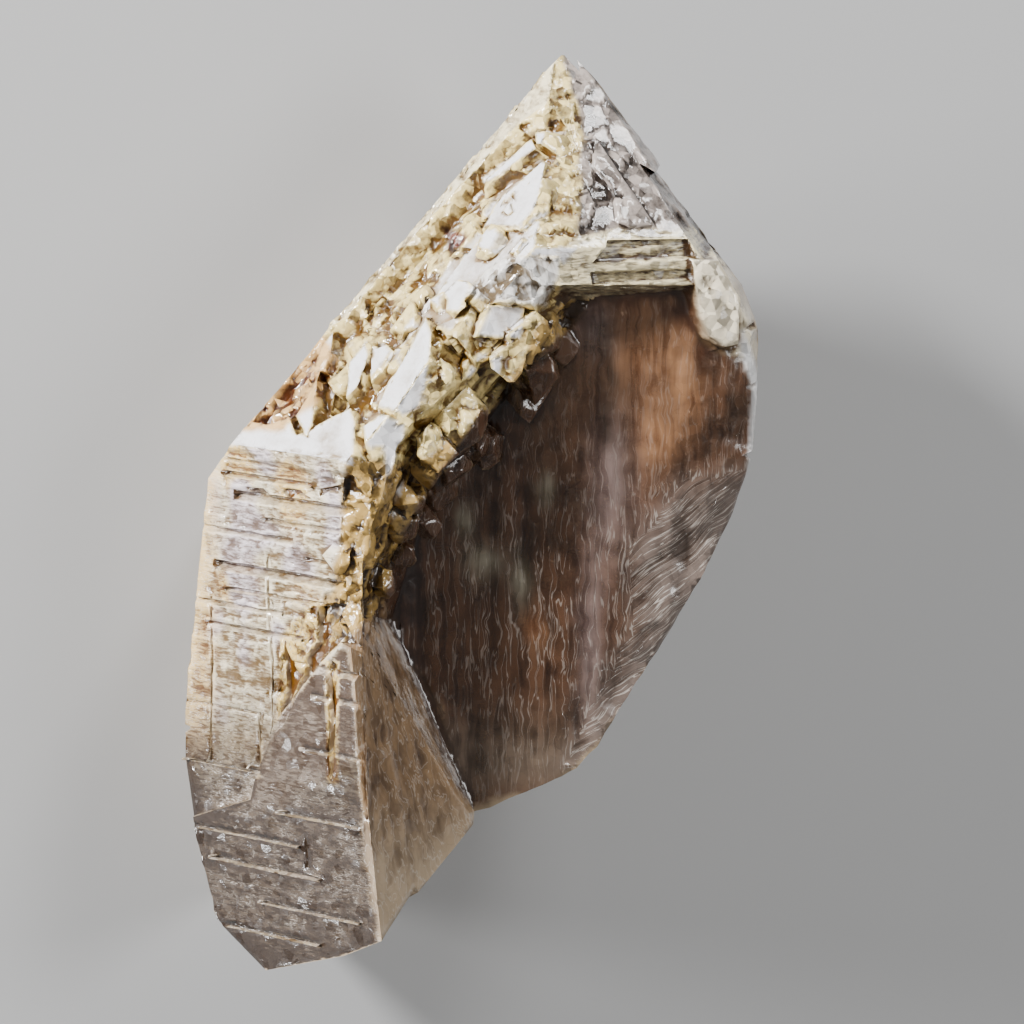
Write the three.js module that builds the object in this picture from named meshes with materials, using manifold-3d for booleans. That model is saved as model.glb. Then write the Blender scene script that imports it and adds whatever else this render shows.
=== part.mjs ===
// A natural smoky quartz crystal, about 91 mm from its tip to its broken foot, lying on one prism face.
// Millimetres. The crystal's long axis (its c-axis) lies along Y with the tip towards +Y, and +Z is up.
// It is one solid: a six-sided crystal whose left side grew in steps and hollows, and whose right side
// is a broad contact surface, with a lobe of the same crystal standing in front of it.

import * as THREE from 'three';
import Module from 'manifold-3d';
import { ConvexGeometry } from 'three/addons/geometries/ConvexGeometry.js';
import { mergeVertices } from 'three/addons/utils/BufferGeometryUtils.js';

const wasm = await Module();
wasm.setup();

// Driving dimensions. A prism face is given by its turn about the c-axis, in degrees from straight up,
// and by how far it stands out from the axis through the tip.
const PRISM = {
  front: { turn: 0, out: 13.5 },
  left: { turn: -60, out: 29.8 },
  right: { turn: 60, out: 19.5 },
  backRight: { turn: 120, out: 11 },
  back: { turn: 180, out: 20 },
  backLeft: { turn: -120, out: 36.4 },
};
// Each pyramid face rises over the prism face of its name. The value is how far it lies outside the tip.
const PYRAMID = { left: 0, front: -0.7, right: 0, backRight: 0, back: 0, backLeft: 0 };
const PYRAMID_RISE = 38.2;
// How far out from the c-axis the contact surface lies.
const CONTACT_OUT = 8.6;

// The outlines below are drawn on a front elevation: millimetres right of the tip and down from it.
// That elevation is seen from a little to the left of the front prism face, and from a little above.
const FRONT_TURN = 17;
const FRONT_RISE = 9.3;

// Far outside the crystal, and how close two places are when they count as the same.
const FAR = 200;
const SAME = 1e-4;
const PARALLEL = 1e-6;

const radians = THREE.MathUtils.degToRad;
const AXIS = new THREE.Vector3(0, 1, 0);
const RIGHT = new THREE.Vector3(Math.cos(radians(FRONT_TURN)), 0, Math.sin(radians(FRONT_TURN)));
const OUT = new THREE.Vector3(-Math.sin(radians(FRONT_TURN)), 0, Math.cos(radians(FRONT_TURN)));
const SIGHT = OUT.clone().multiplyScalar(Math.cos(radians(FRONT_RISE)))
  .addScaledVector(AXIS, Math.sin(radians(FRONT_RISE)));
const UPRIGHT = new THREE.Vector3().crossVectors(SIGHT, RIGHT);

// A repeatable stream of numbers from 0 to 1, for the small growth that has no set place.
let seed = 555;
const chance = () => {
  seed = (seed * 16807) % 2147483647;
  return seed / 2147483647;
};
const between = (low, high) => low + (high - low) * chance();

// The point seen at that place of the elevation, at that distance out from the c-axis.
function at(right, down, out) {
  const along = (out * Math.sin(radians(FRONT_RISE)) - down) / Math.cos(radians(FRONT_RISE));
  return new THREE.Vector3(0, along, 0).addScaledVector(RIGHT, right).addScaledVector(OUT, out);
}

// The direction that a face looks in, from its turn about the c-axis and its rise towards the tip.
function facing(turn, rise) {
  const flat = Math.cos(radians(rise));
  const [x, z] = [Math.sin(radians(turn)) * flat, Math.cos(radians(turn)) * flat];
  return new THREE.Vector3(x, Math.sin(radians(rise)), z);
}

// A face is its outward normal and its distance from the tip.
const face = (normal, distance) => ({ normal: normal.clone().normalize(), distance });
const faceAt = (normal, point) => face(normal, normal.clone().normalize().dot(point));
const opposite = ({ normal, distance }) => face(normal.clone().negate(), -distance);
const level = (out) => face(OUT, out);
const pyramidFace = (name, out = PYRAMID[name]) => face(facing(PRISM[name].turn, PYRAMID_RISE), out);

const names = Object.keys(PRISM);
const prismFace = (name) => face(facing(PRISM[name].turn, 0), PRISM[name].out);
const prism = Object.fromEntries(names.map((name) => [name, prismFace(name)]));
const pyramid = Object.fromEntries(names.map((name) => [name, pyramidFace(name)]));

// A face through three points, looking to the side that the fourth point lies on.
function faceThrough(a, b, c, towards) {
  const normal = new THREE.Vector3().crossVectors(b.clone().sub(a), c.clone().sub(a));
  if (normal.dot(towards.clone().sub(a)) < 0) normal.negate();
  return faceAt(normal, a);
}

// Where the elevation's line of sight through that place meets a face.
function onFace({ normal, distance }, right, down) {
  const near = at(right, down, 0);
  const step = at(right, down, 1).sub(near);
  return near.addScaledVector(step, (distance - normal.dot(near)) / normal.dot(step));
}

// A broken face whose near edge is a line of the elevation lying on the base face, going clockwise
// round the crystal. From that edge it runs back, and lean turns it in behind the crystal.
function brokenFace(base, [x0, down0], [x1, down1], lean) {
  const outward = new THREE.Vector3()
    .addScaledVector(RIGHT, down1 - down0)
    .addScaledVector(UPRIGHT, x1 - x0)
    .normalize();
  const back = SIGHT.clone().multiplyScalar(-Math.cos(radians(lean)))
    .addScaledVector(outward, -Math.sin(radians(lean)));
  const edge = onFace(base, x1, down1).sub(onFace(base, x0, down0));
  const normal = edge.cross(back);
  if (normal.dot(outward) < 0) normal.negate();
  return faceAt(normal, onFace(base, x0, down0));
}

// A run of broken faces along a line of places.
const brokenFaces = (base, places, lean) => places.slice(1)
  .map((place, i) => brokenFace(base, places[i], place, lean));

function toSolid(geometry) {
  geometry.deleteAttribute('normal');
  geometry.deleteAttribute('uv');
  const merged = mergeVertices(geometry, SAME / 10);
  return new wasm.Manifold(new wasm.Mesh({
    numProp: 3,
    vertProperties: new Float32Array(merged.attributes.position.array),
    triVerts: new Uint32Array(merged.index.array),
  }));
}

function toGeometry(solid) {
  const mesh = solid.getMesh();
  const geometry = new THREE.BufferGeometry();
  geometry.setAttribute('position', new THREE.BufferAttribute(new Float32Array(mesh.vertProperties), 3));
  geometry.setIndex(new THREE.BufferAttribute(new Uint32Array(mesh.triVerts), 1));
  return geometry;
}

// The convex solid behind all of the given faces: every corner is where three faces meet.
function block(faces) {
  const sides = [[0, 0], [90, 0], [180, 0], [-90, 0], [0, 90], [0, -90]];
  const all = [...faces, ...sides.map(([turn, rise]) => face(facing(turn, rise), FAR))];
  const corners = [];
  const inside = (p) => all.every(({ normal, distance }) => normal.dot(p) <= distance + PARALLEL);
  for (let i = 0; i < all.length; i += 1) {
    for (let j = i + 1; j < all.length; j += 1) {
      const edge = new THREE.Vector3().crossVectors(all[i].normal, all[j].normal);
      if (edge.length() < PARALLEL) continue;
      for (let k = j + 1; k < all.length; k += 1) {
        const spread = edge.dot(all[k].normal);
        if (Math.abs(spread) < PARALLEL) continue;
        const corner = edge.clone().multiplyScalar(all[k].distance)
          .addScaledVector(new THREE.Vector3().crossVectors(all[j].normal, all[k].normal), all[i].distance)
          .addScaledVector(new THREE.Vector3().crossVectors(all[k].normal, all[i].normal), all[j].distance)
          .divideScalar(spread);
        if (inside(corner) && !corners.some((c) => c.distanceTo(corner) < SAME)) corners.push(corner);
      }
    }
  }
  return toSolid(new ConvexGeometry(corners));
}

const flatPoints = (outline) => outline.map(([x, down]) => new THREE.Vector2(x, -down));
const turnOf = (a, b, c) => (b.x - a.x) * (c.y - a.y) - (b.y - a.y) * (c.x - a.x);

// A closed solid between two rings of matching points, the first lying further out.
function betweenRings(outer, inner, outline) {
  const count = outline.length;
  const flat = flatPoints(outline);
  const forward = THREE.ShapeUtils.area(flat) > 0;
  const index = [];
  const triangle = (a, b, c) => index.push(...(forward ? [a, b, c] : [a, c, b]));
  for (const [a, b, c] of THREE.ShapeUtils.triangulateShape(flat, [])) {
    const [p, q] = (turnOf(flat[a], flat[b], flat[c]) > 0) === forward ? [b, c] : [c, b];
    triangle(a, p, q);
    triangle(a + count, q + count, p + count);
  }
  for (let i = 0; i < count; i += 1) {
    const next = (i + 1) % count;
    triangle(i, i + count, next);
    triangle(next, i + count, next + count);
  }
  const geometry = new THREE.BufferGeometry();
  geometry.setFromPoints([...outer, ...inner]);
  geometry.setIndex(index);
  return toSolid(geometry);
}

// The outline moved inwards by that distance, or outwards where it is negative. The move is held back
// at a sharp corner.
const SHARPEST = 0.35;
function inset(outline, distance) {
  const turn = -Math.sign(THREE.ShapeUtils.area(flatPoints(outline)));
  return outline.map(([x, down], i) => {
    const [xa, downA] = outline[(i + outline.length - 1) % outline.length];
    const [xb, downB] = outline[(i + 1) % outline.length];
    const before = new THREE.Vector2(downA - down, x - xa).normalize();
    const after = new THREE.Vector2(down - downB, xb - x).normalize();
    const move = before.clone().add(after).divideScalar(Math.max(SHARPEST, 1 + before.dot(after)));
    return [x + move.x * distance * turn, down + move.y * distance * turn];
  });
}

// A hollow or a raised plate on a face. It has that outline where it meets the face, reaches from lift
// above the face to sink below it, and narrows by taper for each mm down. Slope tilts its outer side,
// in mm for each mm right and down.
function relief(outline, base, { lift = 3, sink = 1, taper = 0.35, slope = [0, 0] }) {
  const middle = outline.reduce(([x, y], [a, b]) => [x + a / outline.length, y + b / outline.length],
    [0, 0]);
  const ring = (height, [across, along]) => inset(outline, -taper * height).map(([x, down]) => {
    const tipped = across * (x - middle[0]) + along * (down - middle[1]);
    return onFace(base, x, down).addScaledVector(base.normal, height + tipped);
  });
  return betweenRings(ring(lift, slope), ring(-sink, [0, 0]), outline);
}

const hollows = (list, base) => list.map(({ sink, outline }) => relief(outline, base, { sink }));
const slots = (outlines, base, sink) => outlines
  .map((outline) => relief(outline, base, { sink, taper: 0.2 }));
const plate = ({ outline, lift, slope }, base, sink = 6) =>
  relief(outline, base, { lift, sink, slope, taper: -0.22 });

// The column behind an outline of the elevation, straight along the line of sight.
function column(outline) {
  const ring = (depth) => outline.map(([x, down]) => at(x, down, 0).addScaledVector(SIGHT, depth));
  return betweenRings(ring(FAR / 3), ring(-FAR / 3), outline);
}

// A small blunt crystal that grew nearly parallel to the large one. Its faces look the same ways, give or
// take a wobble, and its middle lies sunk below the base face.
const WOBBLE = 14;
function stub(right, down, base, sunk, size) {
  const middle = onFace(base, right, down).addScaledVector(base.normal, -sunk);
  const faces = names.flatMap((name) => [0, PYRAMID_RISE, -PYRAMID_RISE].map((rise) => {
    const normal = facing(PRISM[name].turn + between(-WOBBLE, WOBBLE), rise + between(-WOBBLE, WOBBLE));
    return faceAt(normal, middle.clone().addScaledVector(normal, size * between(0.6, 1.1)));
  }));
  return block(faces);
}

function isInside(outline, x, down) {
  let odd = false;
  outline.forEach(([xa, downA], i) => {
    const [xb, downB] = outline[(i + 1) % outline.length];
    const crosses = (downA > down) !== (downB > down);
    if (crosses && x < ((xb - xa) * (down - downA)) / (downB - downA) + xa) odd = !odd;
  });
  return odd;
}

// Stubs scattered inside an outline of the elevation
function nest(outline, count, base, { sunk, size }) {
  const xs = outline.map(([x]) => x);
  const downs = outline.map(([, down]) => down);
  const found = [];
  while (found.length < count) {
    const x = between(Math.min(...xs), Math.max(...xs));
    const down = between(Math.min(...downs), Math.max(...downs));
    if (isInside(outline, x, down)) found.push(stub(x, down, base, between(...sunk), between(...size)));
  }
  return found;
}

const joined = (solids) => solids.reduce((all, solid) => all.add(solid));

// The crystal's broken outline, as lines of the elevation
const RIGHT_FLANK = [[1, 0], [12.5, 17.5]];
const RIGHT_SHOULDER = [[12.5, 17], [18.2, 26.5]];
const RIGHT_KNEE = [[17.4, 24.4], [19.4, 31]];
const LEFT_EDGE = [[-36, 86], [-38.6, 69], [-36.6, 52], [-34.9, 39]];
const CONTACT_EDGE = [[19.2, 41], [17.5, 47], [13.5, 54], [9.5, 60.5], [3.5, 68.8]];
const CONTACT_FOOT = [[3.5, 68.8], [0, 72.5], [-3.5, 74.7]];
const LOBE_FOOT_RIGHT = [[-9.6, 73], [-9.9, 77.5], [-13, 82.2], [-17.6, 88]];
const LOBE_FOOT = [[-17.6, 88.2], [-22, 90.2], [-30, 92.2]];
const LOBE_FOOT_LEFT = [[-30, 92.2], [-35, 87.5], [-36.2, 83]];

const flank = brokenFace(level(2), ...RIGHT_FLANK, 24);
const leftEdge = brokenFaces(level(4), LEFT_EDGE, 6);

function mainCrystal() {
  const contact = level(CONTACT_OUT - 2);
  return block([
    ...Object.values(prism),
    ...names.filter((name) => name !== 'backRight').map((name) => pyramid[name]),
    flank,
    brokenFace(level(8), ...RIGHT_SHOULDER, -26),
    brokenFace(level(6), ...RIGHT_KNEE, -16),
    ...leftEdge,
    ...brokenFaces(contact, CONTACT_EDGE, 26),
    ...brokenFaces(contact, CONTACT_FOOT, 34),
    brokenFace(contact, [-3.5, 74.7], [-9.5, 75.3], 40),
    brokenFace(contact, [-9.5, 75.3], [-20, 79], 30),
  ]);
}

// The lobe's front edge leans to the right as it goes down. Its right side is a fan of two faces, steep
// near the top and falling back more gently below.
const lobeSide = (a, b, c) => faceThrough(a, b, c, at(20, 60, 60));
const lobeFan = [
  lobeSide(onFace(prism.left, -21.6, 55), onFace(prism.left, -18.4, 86), at(-9.8, 75.5, 11)),
  lobeSide(onFace(prism.left, -21.5, 55.5), at(-18, 55, 8.2), at(-11.2, 71, 8.2)),
];

function lobe() {
  return block([
    ...names.filter((name) => name !== 'front').map((name) => prism[name]),
    ...['left', 'backLeft', 'back'].map((name) => pyramid[name]),
    ...lobeFan,
    ...leftEdge,
    faceThrough(at(-18, 50, 8), at(-10.6, 71, 8), at(-12.5, 65, -18), at(20, 60, 0)),
    ...brokenFaces(lobeFan[0], LOBE_FOOT_RIGHT, 17),
    ...brokenFaces(prism.left, LOBE_FOOT, 20),
    ...brokenFaces(prism.left, LOBE_FOOT_LEFT, 14),
  ]);
}

// The contact surface is hollowed in the middle, waves a little, and bends back in shell-like ribs low
// on the right. Each wave is its height and its turn for each mm right and down.
const DISH = { depth: 1.2, right: -5, down: 44, halfWidth: 13, halfHeight: 22 };
const WAVES = [[0.13, 1.2, 0.05], [0.1, 0.47, 0.23], [0.09, 1.9, 0.12]];
const BEND = { right: 12.5, down: 45, softness: 2.4, fall: 0.6, ribHeight: 0.34 };
function contactOut(x, down) {
  const [u, v] = [(x - DISH.right) / DISH.halfWidth, (down - DISH.down) / DISH.halfHeight];
  const dish = DISH.depth * Math.exp(-u * u - v * v);
  const wave = WAVES.reduce((sum,
    [height, across, along]) => sum + height * Math.sin(across * x + along * down), 0);
  const past = 0.93 * (x - BEND.right) + 0.37 * (down - BEND.down);
  const bent = BEND.softness * Math.log(1 + Math.exp(past / BEND.softness));
  const rib = BEND.ribHeight * Math.sin(0.52 * x + 0.72 * down) * Math.min(1, bent / BEND.softness);
  return CONTACT_OUT - 0.03 * x - dish + wave - BEND.fall * bent + rib;
}

// The space in front of the contact surface, up to a flat lid far outside the crystal.
function contactSpace() {
  const [x0, x1, across] = [-20, 23, 24];
  const [down0, down1, rows] = [22, 84, 30];
  const width = across + 1;
  const points = [];
  for (const isLid of [false, true]) {
    for (let j = 0; j <= rows; j += 1) {
      for (let i = 0; i <= across; i += 1) {
        const x = x0 + ((x1 - x0) * i) / across;
        const down = down0 + ((down1 - down0) * j) / rows;
        points.push(at(x, down, isLid ? FAR / 3 : contactOut(x, down)));
      }
    }
  }
  const index = [];
  const quad = (a, b, c, d) => index.push(a, b, c, a, c, d);
  const lid = width * (rows + 1);
  for (let j = 0; j < rows; j += 1) {
    for (let i = 0; i < across; i += 1) {
      const a = j * width + i;
      quad(a, a + 1, a + 1 + width, a + width);
      quad(lid + a, lid + a + width, lid + a + 1 + width, lid + a + 1);
    }
    const [left, right] = [j * width, j * width + across];
    quad(left, left + width, lid + left + width, lid + left);
    quad(right, lid + right, lid + right + width, right + width);
  }
  for (let i = 0; i < across; i += 1) {
    const low = rows * width + i;
    quad(i, lid + i, lid + i + 1, i + 1);
    quad(low, low + 1, lid + low + 1, lid + low);
  }
  const geometry = new THREE.BufferGeometry();
  geometry.setFromPoints(points);
  geometry.setIndex(index);
  return toSolid(geometry);
}

// The space right of the crystal stops at a ledge above, and at a wall of two faces on the left.
const WALL_TOP = at(-1, 23, 14.4);
const WALL_CORNER = at(-16.5, 39.5, 19.2);
const WALL_FOOT = at(-21.4, 55.5, 20.7);
const LEFT_OF_WALL = at(-30, 50, 12);
const ledge = faceThrough(at(3.5, 24.7, 9), at(12.5, 24, 9), at(8, 23.6, 12.5), at(0, 0, 8));
const upperWall = faceThrough(WALL_TOP, WALL_CORNER, at(-12.8, 43.5, 8.2), LEFT_OF_WALL);
const lowerWall = faceThrough(WALL_CORNER, WALL_FOOT, at(-13.6, 44.5, 8.2), LEFT_OF_WALL);

// What is missing from the right of the crystal: everything below the ledge and right of the wall and
// of the lobe, down to the contact surface.
function contactCut() {
  const beside = lobeFan.map((fan) => block([ledge, upperWall, lowerWall, opposite(fan)]));
  return joined(beside).intersect(contactSpace());
}

// The left pyramid face stopped growing inside its rim, and lies deeper there.
const FIELD = [[-1.4, 5.4], [1, 7.5], [1.9, 10], [2.6, 15.5], [1.9, 19.2], [-0.4, 22], [-11, 29],
  [-14, 35.4],
  [-20.4, 41.6], [-27, 41.2], [-33.4, 39.3], [-30.3, 34.5], [-26.5, 29.7], [-22, 27], [-15.3, 19],
    [-4.7, 7.6]];
const FIELD_DEPTH = 1.7;
const DEEP_HOLLOWS = [
  { sink: 3.1, outline: [[-12.4, 17.6], [-9.6, 18.8], [-11.4, 20.8]] },
  { sink: 3.2, outline: [[-22.9, 28], [-21.4, 30.6], [-21.6, 33], [-22, 35.5], [-24.7, 37.6], [-25.1, 37.4],
    [-24.3, 33.2], [-23.1, 30.5]] },
  { sink: 2.6, outline: [[-4.2, 18], [-2.4, 15.6], [-1.6, 16.2], [-3, 18.2]] },
];

// Flat plates that kept growing in that hollow, with the lift of each above the pyramid face
const CROWN_PLATES = [
  { lift: -0.25, slope: [0.08, -0.05], outline: [[-3.4, 9.3], [-3, 10.1], [-4.8, 11.4], [-8.3, 13.7],
    [-8.1, 12.8], [-5.7, 11]] },
  { lift: -0.1, slope: [0, 0.12], outline: [[-3.2, 8.3], [2.1, 8.5], [2.3, 9.7], [-0.5, 9.9], [-2.9, 9.6]] },
  { lift: -0.6, slope: [0.1, 0.06], outline: [[-2.6, 11.2], [-1.5, 11.8], [-2, 13.4], [-3.2, 16.3],
    [-4.6, 18],
    [-8.5, 17.7], [-6.7, 14.5], [-4.6, 13]] },
  { lift: -0.1, outline: [[0.9, 10.8], [2.6, 10.5], [2.7, 15.5], [1.9, 19.2], [-0.2, 21.9], [-0.8, 21],
    [-0.7, 18.6], [0.7, 15.1]] },
  { lift: -1, slope: [0.05, 0.03], outline: [[-8.5, 18.4], [-4.6, 18.2], [-2, 16.5], [-1.1, 18.4],
    [-0.8, 21],
    [-5.8, 21.1], [-7.8, 22.5], [-9.5, 24], [-10.3, 26], [-11.3, 28.4], [-13.5, 27.2], [-16, 29.5],
    [-16.7, 29.2], [-13.5, 25], [-12.4, 23], [-11, 21.2], [-9.5, 19.5]] },
  { lift: -0.4, slope: [0.12, -0.04], outline: [[-13.8, 27.2], [-13.3, 28.7], [-13.5, 31.4], [-13.9, 34.2],
    [-14.6, 36], [-15.8, 36.6], [-18.9, 35.5], [-17.7, 33], [-16.9, 32.2], [-15.3, 29.8]] },
  { lift: 0, slope: [-0.1, 0], outline: [[-19.8, 29.5], [-19.5, 30.6], [-20, 32.2], [-20.6, 33.9],
    [-21.6, 34.9],
    [-21.4, 31.4]] },
  { lift: -0.5, outline: [[-19.4, 30], [-18, 29.5], [-17.3, 30.2], [-18.5, 32.2], [-19.3, 33]] },
  { lift: -0.7, outline: [[-17.1, 29.9], [-16, 29.7], [-16.7, 31.2], [-17.7, 31.6]] },
  { lift: 0, slope: [0.15, 0], outline: [[-23.1, 28.3], [-23.3, 30.5], [-23.9, 32.2], [-25.1, 32.2],
    [-24.3, 29.9]] },
  { lift: -0.15, slope: [0.12, 0], outline: [[-24.4, 32.2], [-24.7, 33.4], [-25.1, 37.4], [-25.7, 38.6],
    [-26.8, 36.5], [-25.9, 35.3]] },
  { lift: -0.3, outline: [[-21.4, 35.9], [-20.9, 37.2], [-20.9, 41.6], [-25.9, 41.1], [-34, 39.3],
    [-31.3, 37.2],
    [-29.2, 37.4], [-27.6, 36.7], [-26.8, 38.6], [-25.1, 37.8]] },
  { lift: -0.6, outline: [[-18.4, 36.4], [-16.4, 37], [-17.5, 39.6], [-19.7, 40], [-20.2, 37.6]] },
];

// The hollow above the stepped wall runs down into it, past the edge of the pyramid face.
const APRON = [[-11.3, 28.4], [-9.9, 24.8], [-9, 25.3], [-1.8, 26], [0.1, 25], [2, 29], [-4, 36], [-9, 42],
  [-13.9, 44], [-14.9, 42], [-13.7, 37], [-13.1, 29.5]];
const TREAD = [[-5.8, 21.1], [-0.6, 21.2], [-0.8, 23.2], [-1.7, 25], [-1.9, 25.9], [-9, 25.2], [-9.8, 24.5],
  [-7.8, 22.5]];
const APRON_PLATES = [
  { lift: -0.5, slope: [0, 0.1], outline: [[-8.6, 29], [-7.3, 26.1], [-4, 26.2], [-4.5, 29.1]] },
  { lift: -1, slope: [-0.08, 0.1], outline: [[-10, 34.6], [-9.5, 32.2], [-8.5, 30.7], [-6.2, 31],
    [-6.6, 33.1],
    [-7.7, 34.3]] },
];

// Below the front pyramid face a dark band climbs in treads, and frosted growth stands right of it.
const BAND_TREADS = [
  { sink: 0.7, outline: [[1.1, 19.4], [12.4, 19.1], [12.9, 21.2], [0.7, 21.8]] },
  { sink: 0.5, outline: [[2.4, 22.6], [13.4, 22], [13.6, 23.2], [2.6, 23.9]] },
];
const FROSTED = [[12.3, 21.2], [15.1, 21.2], [17.3, 25], [17.1, 29.5], [15.9, 29.8], [14.3, 28.8],
  [13.3, 26.8]];
const GLASSY_PIT = [[1.8, 18.4], [2.4, 14.3], [3.2, 14.1], [4.2, 15.3], [4.4, 16.5], [3.6, 17.6],
  [3.4, 18.4]];
const FRONT_PLATE = [[2.9, 8.9], [5.4, 12.8], [8.8, 18], [6.4, 18.2], [4.9, 17.6], [4.5, 14.6], [2.6, 12]];
const FLANK_PLATE = [[1.1, 0.4], [4.7, 4.8], [8.5, 9.8], [9.6, 11.4], [8.9, 12.4], [7.5, 11.6], [5.3, 10],
  [3.3, 7.8], [1.9, 4]];
const FLANK_PLATE_LIFT = 0.7;

// Growth lines: shallow steps across a prism face. Each is so far down the axis and so many mm deep,
// and reaches from one share of the face's width to another, counted from its right edge.
const GROWTH_LINES = {
  left: [[39.8, 0.3, 0, 1], [41.3, 0.4, 0.35, 0.8], [43.2, 1, 0.12, 0.75], [45.4, 0.25, 0.1, 0.6],
    [47.1, 0.5, 0.45, 1], [48.8, 0.25, 0, 0.4], [50.6, 0.9, 0.2, 0.85], [53, 0.25, 0.3, 0.8],
      [54.6, 0.4, 0.5, 1],
    [56.8, 0.5, 0.4, 0.9], [59.4, 0.25, 0.1, 0.5], [62.3, 0.5, 0, 0.35], [65.2, 0.7, 0.55, 1],
    [67.8, 0.3, 0, 0.4], [71.2, 0.7, 0.6, 1], [74.6, 0.3, 0.1, 0.5], [77.7, 0.25, 0.4, 1],
    [80.6, 0.4, 0.3, 0.85], [84.2, 0.25, 0.1, 0.6], [87.3, 0.3, 0.3, 1]],
  right: [[27, 0.6, 0, 1], [33, 0.4, 0, 1], [40, 0.7, 0, 1]],
  backRight: [[30, 0.6, 0, 0.7], [37, 0.8, 0.2, 1], [45, 0.5, 0, 1], [52, 0.9, 0, 0.8]],
  backLeft: [[46, 0.7, 0, 1], [52.6, 0.5, 0.2, 1], [59, 0.9, 0, 0.8], [68, 0.6, 0, 1], [75, 0.8, 0.3, 1]],
  back: [[38, 0.6, 0.2, 0.9], [52, 0.5, 0, 1], [66, 0.7, 0.1, 0.8]],
};
// Where each prism face starts and ends across its width, in mm from the point nearest the axis.
const FACE_SPANS = {
  left: [-25, 3], right: [-12, 1], backRight: [-12, 10], back: [-5, 31], backLeft: [-8, 21],
};
// The upper side of a growth line's groove is steep, and its lower side slopes gently.
const GROOVE = { width: 0.25, steep: 78, gentle: -55 };

// Above its lower plate the left prism face lies a step further in.
const UPPER_SIDE = [[-46, 36], [-8, 36], [-8, 57], [-20.5, 58.6], [-22.3, 59.4], [-24.7, 61.5],
  [-26.2, 63.7],
  [-28, 67.4], [-29.3, 68.6], [-31, 72.8], [-31.5, 75], [-35.1, 76.2], [-46, 80]];
const UPPER_STEP = 0.6;
const UPPER_STEP_END = 60;
const GOLD_VEES = [
  [[-28.4, 58.6], [-27.7, 60.2], [-26.5, 62.4], [-27.5, 65.4], [-28.8, 67], [-28.5, 64.7]],
  [[-25.1, 55.2], [-21.9, 55], [-21.1, 57.8], [-23.5, 60.2], [-26.3, 63.8], [-27.9, 66.4], [-26.5, 62.4],
    [-26.4, 60.5], [-25.3, 59]],
];
const SLITS = [
  [[-31.2, 66.2], [-30.3, 66.1], [-30.6, 69], [-30.8, 72.6], [-31.1, 70]],
  [[-23.1, 60.8], [-22.5, 61.2], [-22.7, 67], [-23, 72.8], [-23.4, 72.6], [-23.4, 67], [-23.7, 62.2]],
  [[-25.9, 78.4], [-25.6, 80], [-25.5, 81.8], [-25.8, 81.6]],
  [[-30.3, 50.6], [-29.8, 50.6], [-29.7, 55], [-29.3, 61], [-29.4, 68.5], [-29.8, 68.5], [-29.8, 61],
    [-30.2, 55]],
  [[-36.2, 54.6], [-35.7, 54.6], [-35.6, 61], [-35.9, 71.5], [-36.3, 71.5], [-36.1, 61]],
  [[-20.7, 65], [-20.3, 65], [-19.9, 71], [-19.4, 76.5], [-19.8, 76.5], [-20.4, 71]],
];
const SLIT_DEPTH = 0.8;
const SIDE_PITS = [
  [[-32.5, 43.6], [-30.3, 43.8], [-28.9, 45], [-30.3, 44.7], [-31.5, 45.3]],
  [[-28.5, 43.8], [-26.5, 44], [-25.3, 45], [-26.9, 44.7], [-27.9, 45.3]],
  [[-24.9, 43.9], [-22.3, 43.4], [-22.7, 44.7], [-23.9, 44.5], [-24.7, 45]],
];
const SIDE_PIT_DEPTH = 1.5;

// The edge between the side and the wall is cut off by a rough corner face, with a fin standing on it.
const CORNER = face(facing(-30, 0), 23.7);
const CORNER_OUTLINE = [[-21.6, 40.3], [-19.9, 35], [-14, 38], [-13, 60], [-19.3, 60.4], [-22.2, 59],
  [-24.9, 59],
  [-24.7, 55], [-23.1, 53.8], [-23.2, 51], [-22.1, 49], [-21.9, 45]];
const FIN = { lift: 0.8, outline: [[-17.9, 38], [-15.9, 37.6], [-15.9, 42.3], [-16, 43.7], [-17, 47.2],
  [-17.6, 49],
  [-18.1, 47], [-17.6, 43]] };

// Where stubs grew
const CROWN_NEST = [[-27, 32], [-22, 27.6], [-15.3, 19.8], [-4.5, 8.5], [1, 9], [1.4, 18], [-12, 27.5],
  [-14.4, 37],
  [-16.5, 39], [-20, 35.5], [-26, 37.5], [-31, 36]];
const CORNER_NEST = [[-21.4, 40.5], [-16, 40], [-15.5, 50], [-18, 59], [-23.5, 58.5], [-22.3, 50]];
const UPPER_WALL_NEST = [[-1, 24], [2.5, 26], [-7, 37], [-13, 43.5], [-15.5, 40], [-11, 34.5]];
const LOWER_WALL_NEST = [[-16.5, 40.5], [-14, 44], [-17.5, 54], [-20.5, 55]];

// A growth line cut into a prism face
function growthLine(name, [down, depth, from, to]) {
  const { turn, out } = PRISM[name];
  const outward = facing(turn, 0);
  const across = new THREE.Vector3().crossVectors(AXIS, outward);
  const [first, last] = FACE_SPANS[name];
  const floor = out - depth - (name === 'left' && down < UPPER_STEP_END ? UPPER_STEP : 0);
  const foot = outward.clone().multiplyScalar(floor).addScaledVector(AXIS, -down);
  return block([
    face(outward, out + 3),
    face(outward.clone().negate(), -floor),
    faceAt(facing(turn + 180, GROOVE.steep), foot),
    faceAt(facing(turn + 180, GROOVE.gentle), foot.clone().addScaledVector(AXIS, -GROOVE.width)),
    face(across, last - (last - first) * from),
    face(across.clone().negate(), -(last - (last - first) * to)),
  ]);
}

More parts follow.
